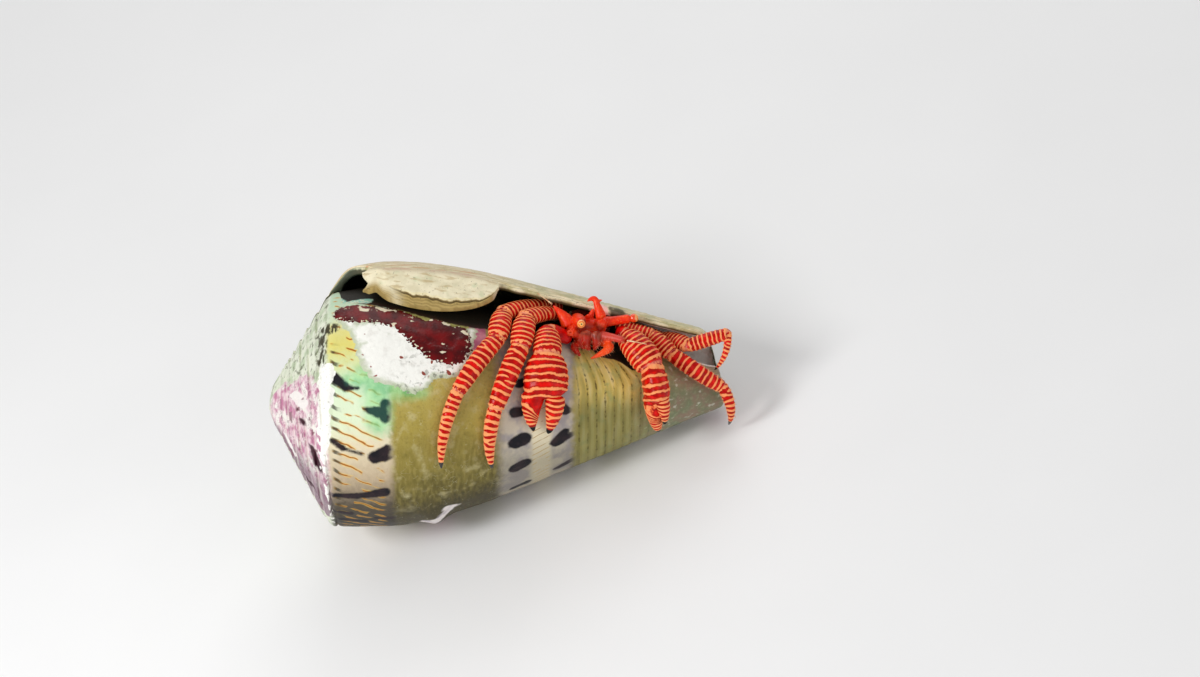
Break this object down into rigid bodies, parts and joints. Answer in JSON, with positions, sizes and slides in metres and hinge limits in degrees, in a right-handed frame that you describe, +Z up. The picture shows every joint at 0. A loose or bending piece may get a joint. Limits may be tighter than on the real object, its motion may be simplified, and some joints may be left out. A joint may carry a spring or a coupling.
{
  "type": "hermit crab in a cone shell",
  "caption": "Life-size still model of a flat-bodied red and orange hermit crab looking out of the slit mouth of an old, crusted cone shell that lies on its belly.",
  "frame": {"origin": "centre of the bounding box, on the floor", "axes": "+X from the tip of the shell's spire towards the narrow mouth end, +Z up, -Y towards the side on which the crab looks out"},
  "size_m": [0.0922, 0.051, 0.0514],
  "materials": {
    "shell": "worn cone shell: khaki skin, banded shoulder, chalky and pink crusts, glossy maroon algae",
    "lip_crust": "layered pale crust with a yellow-brown lower edge",
    "red_carapace": "glossy deep red with raised orange rings",
    "black_tip": "glossy black claw tip",
    "orange_skin": "wet bright orange-red skin, slightly translucent",
    "feeler": "thin pale translucent feeler",
    "eye": "glossy orange eye with a pale yellow ring and a tiny dark centre",
    "pale_skin": "soft wet pinkish-cream skin"
  },
  "bodies": {
    "root": {"shell": "shell", "lip_plate": "lip_crust", "leg_right_rear_merus": "red_carapace", "leg_right_rear_carpus": "red_carapace", "leg_right_rear_propodus": "red_carapace", "leg_right_rear_dactyl": "red_carapace", "leg_right_rear_tip": "black_tip", "leg_right_front_merus": "red_carapace", "leg_right_front_carpus": "red_carapace", "leg_right_front_propodus": "red_carapace", "leg_right_front_dactyl": "red_carapace", "leg_right_front_tip": "black_tip", "leg_left_front_merus": "red_carapace", "leg_left_front_carpus": "red_carapace", "leg_left_front_propodus": "red_carapace", "leg_left_front_dactyl": "red_carapace", "leg_left_front_tip": "black_tip", "leg_left_rear_merus": "red_carapace", "leg_left_rear_carpus": "red_carapace", "leg_left_rear_propodus": "red_carapace", "leg_left_rear_dactyl": "red_carapace", "leg_left_rear_tip": "black_tip", "claw_right_arm": "red_carapace", "claw_right_wrist": "red_carapace", "claw_right_palm": "red_carapace", "claw_right_finger": "red_carapace", "claw_left_arm": "red_carapace", "claw_left_wrist": "red_carapace", "claw_left_palm": "red_carapace", "claw_left_finger": "red_carapace", "eyestalk_right": "orange_skin", "eyestalk_left": "orange_skin", "antennule_right": "orange_skin", "antennule_left": "orange_skin", "antenna_right": "orange_skin", "antenna_left": "orange_skin", "maxilliped_right": "orange_skin", "maxilliped_left": "orange_skin", "feeler_right": "feeler", "eye_right": "eye", "feeler_left": "feeler", "eye_left": "eye", "head": "orange_skin", "shield": "pale_skin", "thorax": "pale_skin", "abdomen_front": "pale_skin", "abdomen_rear": "pale_skin", "tail_fan": "pale_skin", "leg_right_fourth": "pale_skin", "leg_right_fifth": "pale_skin", "leg_left_fourth": "pale_skin", "leg_left_fifth": "pale_skin"}
  },
  "joints": []
}
